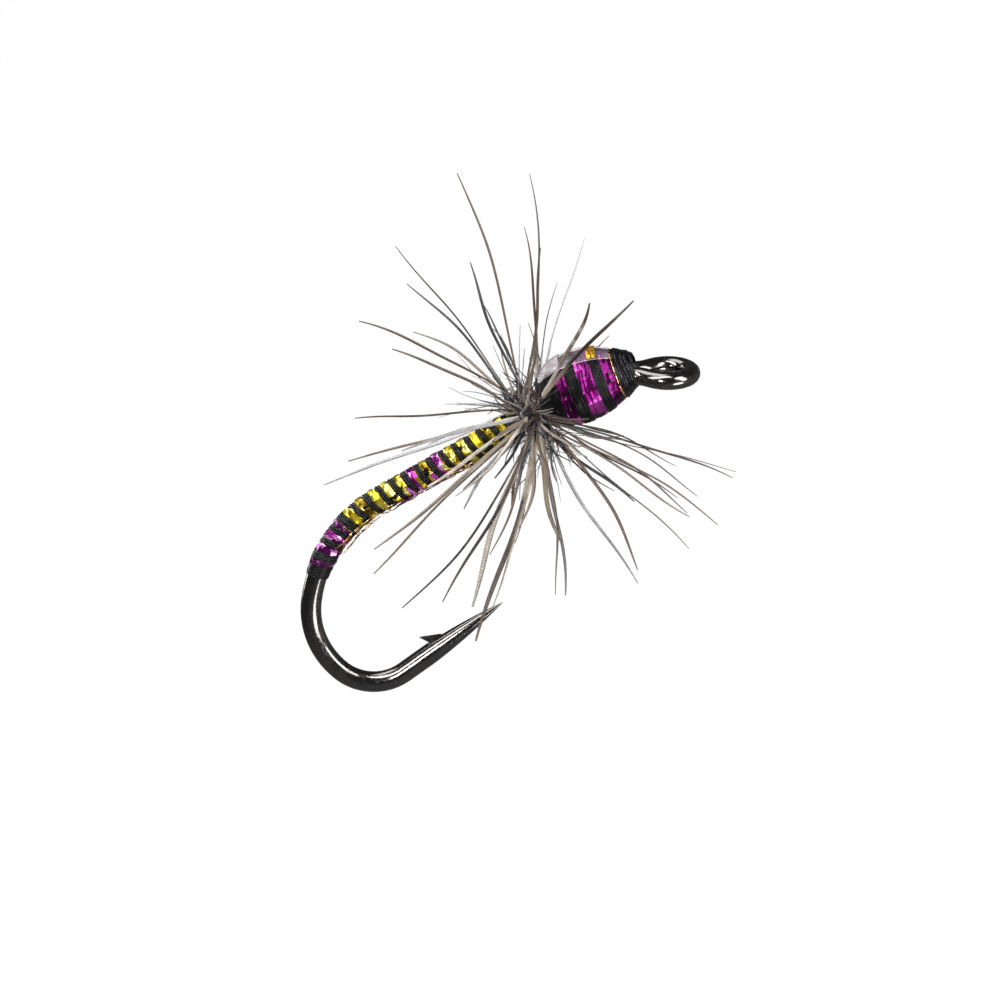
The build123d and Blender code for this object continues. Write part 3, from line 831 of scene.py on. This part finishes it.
# ---------------------------------------------------------------- hackle
FIBRES = [
    # turn of the stem, clock angle and sweep in degrees, length, bow, sway, look
    (2, -12, 15, 6.6, 0.2, 0.1, BROWN), (3, -38, -11, 6.0, 0.1, 0.1, BROWN),
    (3, 38, -15, 5.7, 0.3, 0.0, BROWN), (1, -32, 27, 6.3, 0.3, 0.1, SLATE),
    (2, 26, 33, 5.8, 0.1, -0.1, BROWN), (3, 10, -6, 4.9, 0.2, 0.1, SLATE),
    (0, 48, 38, 5.3, 0.2, 0.1, CREAM), (0, 52, 51, 5.5, -0.2, 0.0, TAN),
    (2, 50, 24, 3.9, 0.1, 0.1, CREAM), (1, -2, 8, 4.2, -0.1, 0.1, SLATE),
    (0, -64, 30, 5.6, -0.1, 0.1, PALE), (1, -74, 18, 4.9, -0.1, 0.1, SLATE),
    (2, -68, -5, 5.0, 0.2, 0.1, SLATE), (1, -84, 12, 4.0, 0.0, 0.1, PALE),
    (2, -90, 2, 4.6, 0.2, 0.1, PALE), (3, -80, -5, 5.2, 0.3, 0.1, TAN),
    (3, -98, -14, 5.4, 0.2, 0.1, BROWN), (0, -96, 24, 4.7, -0.2, 0.1, BROWN),
    (1, -112, 4, 5.0, 0.1, 0.1, SLATE), (0, -52, 16, 5.4, 0.2, 0.1, TAN),
    (3, -60, -24, 5.0, 0.2, 0.1, TAN), (2, -104, -8, 5.3, 0.1, 0.1, PALE),
    (1, 66, 12, 5.2, 0.2, 0.1, TAN), (2, 74, -4, 4.8, 0.3, 0.1, CREAM),
    (0, 82, 22, 4.6, -0.1, 0.1, BROWN), (3, 84, -20, 5.0, 0.2, 0.1, CREAM),
    (1, 92, 6, 5.4, 0.1, 0.1, SLATE), (0, 96, 30, 4.8, 0.1, 0.1, BROWN),
    (2, 102, -10, 4.9, 0.2, 0.1, TAN), (3, 62, -30, 5.1, 0.1, 0.1, PALE),
    (3, -64, -59, 5.3, 0.1, 0.1, BROWN), (3, 56, -46, 5.6, 0.2, 0.1, CREAM),
    (3, -95, -49, 4.2, 0.2, 0.1, PALE), (3, -52, -80, 6.0, -0.2, 0.1, PALE),
    (2, 76, -30, 5.2, 0.1, 0.1, CREAM), (2, -30, -36, 5.2, 0.2, 0.1, BROWN),
    (3, -120, -40, 5.0, 0.2, 0.1, TAN), (3, 90, -52, 5.9, -0.1, 0.1, TAN),
    (3, 97, -56, 6.2, -0.1, 0.1, BROWN), (2, -128, -46, 4.8, -0.3, 0.1, PALE),
    (2, -122, -34, 3.9, 0.1, 0.1, SLATE), (3, 169, -65, 6.1, 0.3, 0.1, BROWN),
    (2, -168, -48, 5.9, -0.2, 0.1, CREAM), (2, 102, -19, 5.7, 0.1, 0.1, BROWN),
    (2, 132, -38, 6.3, 0.3, 0.2, TAN), (1, 122, -33, 5.7, 0.3, 0.1, CREAM),
    (3, 150, -56, 5.2, 0.2, 0.1, BROWN), (2, -146, -33, 4.9, 0.1, 0.1, SLATE),
    (2, -138, -34, 4.1, -0.1, 0.1, BROWN), (1, 92, -11, 4.5, 0.1, 0.1, SLATE),
    (1, 122, -11, 5.9, 0.1, 0.2, TAN), (1, 98, 2, 4.0, -0.1, 0.1, BROWN),
    (1, 114, -6, 4.7, -0.1, 0.1, CREAM), (1, -174, -2, 5.5, -0.2, 0.2, PALE),
    (0, 150, 6, 4.8, 0.2, 0.1, BROWN), (2, 168, -20, 4.6, 0.1, 0.1, SLATE),
    (1, 107, 18, 4.8, -0.1, 0.1, BROWN), (1, -148, 7, 4.8, -0.2, 0.1, SLATE),
    (0, 136, 22, 5.9, 0.0, 0.1, BROWN), (0, 126, 29, 5.8, 0.2, 0.1, BROWN),
    (1, -163, 20, 5.4, 0.1, 0.1, TAN), (0, -153, 17, 5.2, -0.1, 0.1, BROWN),
    (0, 109, 34, 5.8, 0.3, 0.0, BROWN), (0, -168, 37, 5.5, 0.2, 0.0, SLATE),
    (0, -174, 43, 5.4, -0.1, 0.0, BROWN), (1, 145, 34, 5.9, 0.2, 0.1, BROWN),
    (0, -158, 24, 5.3, 0.3, 0.1, BROWN), (1, 95, 30, 4.8, 0.0, 0.1, SLATE),
    (0, -132, 15, 3.8, -0.3, 0.1, TAN), (1, 97, 20, 4.1, -0.1, 0.1, CREAM),
    (1, 103, 18, 3.4, -0.1, 0.1, BROWN),
]
LOOKS = [BROWN, TAN, CREAM, SLATE, PALE, SOOT]
LOOK_WIDTHS = [0.85, 1.1, 1.25, 0.8, 1.15, 0.8]
REGION_WIDTHS = {"upper": 0.95, "far": 0.7, "near": 0.8, "rear": 1.0, "lower_rear": 1.1, "lower": 1.0,
                 "fore": 0.62}
STEM_STATIONS = [-stem_high.x + 0.11 + STEM_PITCH * i for i in range(4)]


def section_curve(name, half_w, half_t):
    """Flattened section of a feather fibre."""
    clear_selection()
    bpy.ops.curve.primitive_bezier_circle_add(radius=1)
    section = bpy.context.object
    section.name = name
    section.scale = (half_w, half_t, 1)
    section.data.resolution_u = 2
    bpy.ops.object.transform_apply(location=False, rotation=False, scale=True)
    return section


def add_fibre(line, turn, clock, sweep, length, bow, sway, look, dice, shares, smoothness, broad=1.0):
    """One feather fibre as a smooth spline of a curve object, with points at shares of its length."""
    clock, sweep = math.radians(clock), math.radians(sweep)
    out = Vector((0, -math.sin(clock), math.cos(clock)))
    across = Vector((0, math.cos(clock), math.sin(clock)))
    chord = out * math.cos(sweep) + Vector((math.sin(sweep), 0, 0))
    forward = Vector((math.cos(sweep), 0, 0)) - out * math.sin(sweep)
    root = Vector((-STEM_STATIONS[turn], 0, SHANK_RISE)) + out * (stem_r - 0.08)
    spline = line.splines.new("NURBS")
    spline.points.add(len(shares) - 1)
    wave = dice.uniform(0, 2 * math.pi)
    broad *= LOOK_WIDTHS[LOOKS.index(look)] * dice.uniform(0.85, 1.2)
    for point, share in zip(spline.points, shares):
        place = root + chord * (length * share)
        place += forward * (bow * 4 * share * (1 - share))
        place += across * (sway * math.sin(wave + 5 * share) * share)
        place += forward * (0.10 * math.sin(wave + 8 * share) * share)
        point.co = (*place, 1)
        near_tip = max(0, share - 0.8) / 0.2
        point.radius = broad * (1.0 + 0.15 * math.sin(math.pi * share)) * (1 - 0.55 * near_tip)
        point.tilt = wave + 0.8 * share
    spline.order_u = 4
    spline.use_endpoint_u = True
    spline.resolution_u = smoothness
    spline.material_index = LOOKS.index(look)


def fibre_bundle(name, section):
    """Empty curve object that takes fibres of one bundle."""
    line = bpy.data.curves.new(name, "CURVE")
    line.dimensions = "3D"
    line.twist_mode = "MINIMUM"
    line.bevel_mode = "OBJECT"
    line.bevel_object = section
    line.use_fill_caps = True
    for look in LOOKS:
        line.materials.append(look)
    bundle = bpy.data.objects.new(name, line)
    bpy.context.scene.collection.objects.link(bundle)
    return bundle


def fibre_region(clock, sweep):
    """The named region of the hackle that a fibre belongs to, from its angles in degrees."""
    if abs(clock) < 50 and sweep > -30:
        return "upper"
    if sweep < -28:
        return "rear" if abs(clock) < 96 else "lower_rear"
    if abs(clock) < 90 or -115 < clock < 0:
        return "near" if clock > 0 else "far"
    return "lower" if sweep < 10 else "fore"


def make_hackle():
    """All the fibres, in one bundle for each region of the hackle, and the fuzz at their roots."""
    section = section_curve("fibre_section", 0.046, 0.028)
    dice = random.Random(12)
    bundles = {region: fibre_bundle("hackle_" + region, section) for region in REGION_WIDTHS}
    long_shares = [0, 0.12, 0.3, 0.45, 0.6, 0.75, 0.9, 1.0]
    for turn, clock, sweep, length, bow, sway, look in FIBRES:
        region = fibre_region(clock, sweep)
        add_fibre(bundles[region].data, turn, clock, sweep, length + FIBRE_EXTRA, bow, sway, look,
                  dice, long_shares, 4, REGION_WIDTHS[region])
    web = fibre_bundle("hackle_web", section_curve("web_section", 0.022, 0.012))
    for _ in range(FUZZ_COUNT):
        length = min(FUZZ_LONGEST, 0.5 + dice.expovariate(1.6))
        look = dice.choice([CREAM, PALE, SOOT, SOOT, SOOT, BROWN, SLATE])
        add_fibre(web.data, dice.randrange(4), dice.uniform(-180, 180), dice.gauss(0, 36), length,
                  dice.gauss(0, 0.2), dice.gauss(0, 0.25), look, dice, [0, 0.3, 0.6, 1.0], 2)
    bundles["web"] = web
    for region, bundle in bundles.items():
        pick(bundle)
        bpy.ops.object.convert(target="MESH")
        node = "hackle_web_fibres" if region == "web" else "hackle_fibres_" + region
        settle(bundle, "hackle_" + region, None, [node], smooth=60)


make_hackle()
stem = wind(oval(0, stem_r - 0.11, 0.105, 0.11, sides=12), STEM_PITCH, 4, 40)
pick(stem)
stem.location = (-STEM_STATIONS[3], 0, SHANK_RISE)
bpy.ops.object.transform_apply(location=True, rotation=False, scale=False)
settle(stem, "hackle_quill", [QUILL], ["hackle_stem"], smooth=60)

# ---------------------------------------------------------------- camera, light and floor
CAMERA_LENS = 600
CAMERA_DISTANCE = 0.4764                # in metres, as are the next three
CAMERA_CLIP = (0.005, 10)
TABLE_SIZE = 3.0
TABLE_DROP = 60 * MM
CAMERA_AIM = (-4.80, -3.63)             # to the right of the eye and above it, in millimetres
LIGHTS = [
    # name, place, size, power in watts
    ("side_box", (88, -54, 4), (44, 100), 0.10),
    ("top_box", (4, -58, 118), (170, 44), 0.17),
    ("low_box", (20, -54, -56), (44, 44), 0.045),
    ("high_box", (20, 40, 200), (160, 120), 0.22),
    ("rim_box", (-130, 120, 90), (60, 120), 0.14),
    ("front_box", (-50, -190, 90), (44, 44), 0.15),
]

camera_data = bpy.data.cameras.new("camera")
camera_data.lens = CAMERA_LENS
camera_data.clip_start, camera_data.clip_end = CAMERA_CLIP
camera = bpy.data.objects.new("camera", camera_data)
bpy.context.scene.collection.objects.link(camera)
look = Vector((0.1736, -0.9397, 0.2947)).normalized()
right = Vector((0.8616, 0, -0.5075)).normalized()
upward = look.cross(right).normalized()
target = (right * CAMERA_AIM[0] + upward * CAMERA_AIM[1]) * MM
facing = Matrix((right, upward, look)).transposed().to_4x4()
camera.matrix_world = Matrix.Translation(target + look * CAMERA_DISTANCE) @ facing
bpy.context.scene.camera = camera


def add_light(name, place, size, power):
    """Large soft lamp, its place and size in millimetres, aimed where the camera looks."""
    lamp_data = bpy.data.lights.new(name, "AREA")
    lamp_data.shape = "RECTANGLE"
    lamp_data.size, lamp_data.size_y = size[0] * MM, size[1] * MM
    lamp_data.energy = power
    lamp = bpy.data.objects.new(name, lamp_data)
    bpy.context.scene.collection.objects.link(lamp)
    lamp.location = Vector(place) * MM
    lamp.rotation_euler = (Vector(place) * MM - target).to_track_quat("Z", "Y").to_euler()


for light in LIGHTS:
    add_light(*light)

world = bpy.data.worlds.new("studio")
world.use_nodes = True
world.node_tree.nodes["Background"].inputs["Color"].default_value = (1, 1, 1, 1)
sky_rays = add_node(world.node_tree, "ShaderNodeLightPath")
sky_glow = stretch_range(world.node_tree, sky_rays.outputs["Is Camera Ray"], 0.0, 1.0, 0.07, 1.0)
world.node_tree.links.new(sky_glow, world.node_tree.nodes["Background"].inputs["Strength"])
bpy.context.scene.world = world
bpy.context.scene.view_settings.view_transform = "Standard"

clear_selection()
bpy.ops.mesh.primitive_plane_add(size=TABLE_SIZE, location=(0, 0, -TABLE_DROP))
floor = bpy.context.object
floor.name = "floor"
table, table_tree, table_shader, _ = new_material("light_table")
table_shader.inputs["Base Color"].default_value = (0.06, 0.06, 0.06, 1)
table_shader.inputs["Roughness"].default_value = 0.9
table_shader.inputs["Emission Color"].default_value = (0.985, 0.985, 0.985, 1)
rays = add_node(table_tree, "ShaderNodeLightPath")
glow = stretch_range(table_tree, rays.outputs["Is Camera Ray"], 0.0, 1.0, 0.10, 0.985)
table_tree.links.new(glow, table_shader.inputs["Emission Strength"])
floor.data.materials.append(table)

for node in ("body_underthread", "thorax_thread_core"):
    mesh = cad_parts[node].data
    mesh.materials.clear()
    mesh.materials.append(BLACK)

for helper in [o for o in bpy.data.objects if o.type == "CURVE"]:
    bpy.data.objects.remove(helper)
